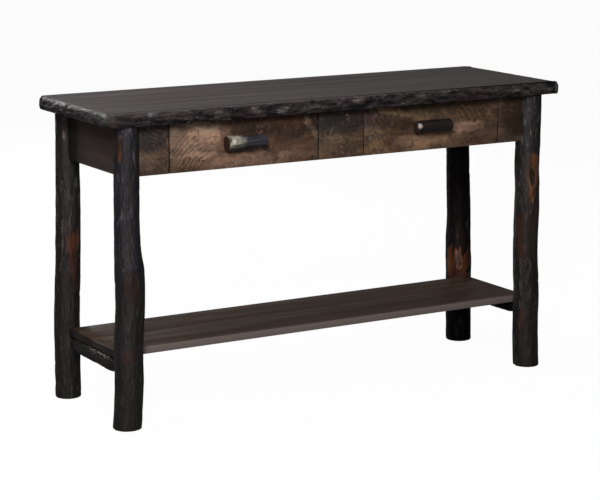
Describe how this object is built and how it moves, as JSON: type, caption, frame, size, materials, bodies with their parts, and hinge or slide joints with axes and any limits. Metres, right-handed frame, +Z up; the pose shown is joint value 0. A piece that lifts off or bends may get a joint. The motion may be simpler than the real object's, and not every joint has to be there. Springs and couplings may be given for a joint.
{
  "type": "log-leg console table",
  "caption": "Rustic console table with a waney-edged plank top on bark-on log legs, inset saw-marked drawers with twig handles, and a low shelf on log stretchers.",
  "frame": {"origin": "on the floor, below the middle of the top", "axes": "+X along the table to the right seen from the front, -Y towards the drawers' front, +Z up"},
  "size_m": [1.3, 0.412, 0.762],
  "materials": {
    "stained_top": "satin, dark charcoal-brown stain",
    "hickory_bark": "bark left on, clear coat",
    "barkwood": "circular-saw marks, stained, clear coat",
    "stained_board": "smooth dark brown stain",
    "drawer_wood": "clear coat",
    "plywood": "clear coat",
    "zinc_steel": "zinc plated",
    "screw_steel": "dark plated"
  },
  "bodies": {
    "table": {"top_board_front": "stained_top", "top_board_middle": "stained_top", "top_board_back": "stained_top", "leg_front_left": "hickory_bark", "leg_front_right": "hickory_bark", "leg_back_left": "hickory_bark", "leg_back_right": "hickory_bark", "stile_left": "barkwood", "stile_middle": "barkwood", "stile_right": "barkwood", "apron_left": "stained_board", "apron_right": "stained_board", "apron_back": "stained_board", "rail_upper": "stained_board", "rail_lower": "stained_board", "partition_left_outer": "drawer_wood", "partition_left_inner": "drawer_wood", "partition_right_inner": "drawer_wood", "partition_right_outer": "drawer_wood", "cleat_left": "stained_board", "cleat_right": "stained_board", "cleat_back": "stained_board", "shelf_front": "stained_board", "shelf_back": "stained_board", "stretcher_left": "hickory_bark", "stretcher_right": "hickory_bark", "top_screws": "screw_steel", "stile_screws": "screw_steel", "partition_screws": "screw_steel", "shelf_screws": "screw_steel", "left_slide_l_fixed": "zinc_steel", "left_slide_r_fixed": "zinc_steel", "right_slide_l_fixed": "zinc_steel", "right_slide_r_fixed": "zinc_steel"},
    "left_drawer": {"left_drawer_front": "barkwood", "left_handle": "hickory_bark", "left_handle_screws": "screw_steel", "left_box_front": "drawer_wood", "left_box_side_l": "drawer_wood", "left_box_side_r": "drawer_wood", "left_box_back": "drawer_wood", "left_drawer_bottom": "plywood", "left_slide_l_drawer": "zinc_steel", "left_slide_r_drawer": "zinc_steel"},
    "left_slide_members": {"left_slide_l_middle": "zinc_steel", "left_slide_r_middle": "zinc_steel"},
    "right_drawer": {"right_drawer_front": "barkwood", "right_handle": "hickory_bark", "right_handle_screws": "screw_steel", "right_box_front": "drawer_wood", "right_box_side_l": "drawer_wood", "right_box_side_r": "drawer_wood", "right_box_back": "drawer_wood", "right_drawer_bottom": "plywood", "right_slide_l_drawer": "zinc_steel", "right_slide_r_drawer": "zinc_steel"},
    "right_slide_members": {"right_slide_l_middle": "zinc_steel", "right_slide_r_middle": "zinc_steel"}
  },
  "joints": [
    {"name": "left_drawer_slide", "type": "slide", "parent": "table", "child": "left_drawer", "axis": [0, -1, 0], "range_m": [0, 0.24]},
    {"name": "left_slide_members_slide", "type": "slide", "parent": "table", "child": "left_slide_members", "axis": [0, -1, 0], "range_m": [0, 0.12]},
    {"name": "right_drawer_slide", "type": "slide", "parent": "table", "child": "right_drawer", "axis": [0, -1, 0], "range_m": [0, 0.24]},
    {"name": "right_slide_members_slide", "type": "slide", "parent": "table", "child": "right_slide_members", "axis": [0, -1, 0], "range_m": [0, 0.12]}
  ],
  "couplings": [
    {"joint": "left_slide_members_slide", "follows": "left_drawer_slide", "ratio": 0.5},
    {"joint": "right_slide_members_slide", "follows": "right_drawer_slide", "ratio": 0.5}
  ]
}
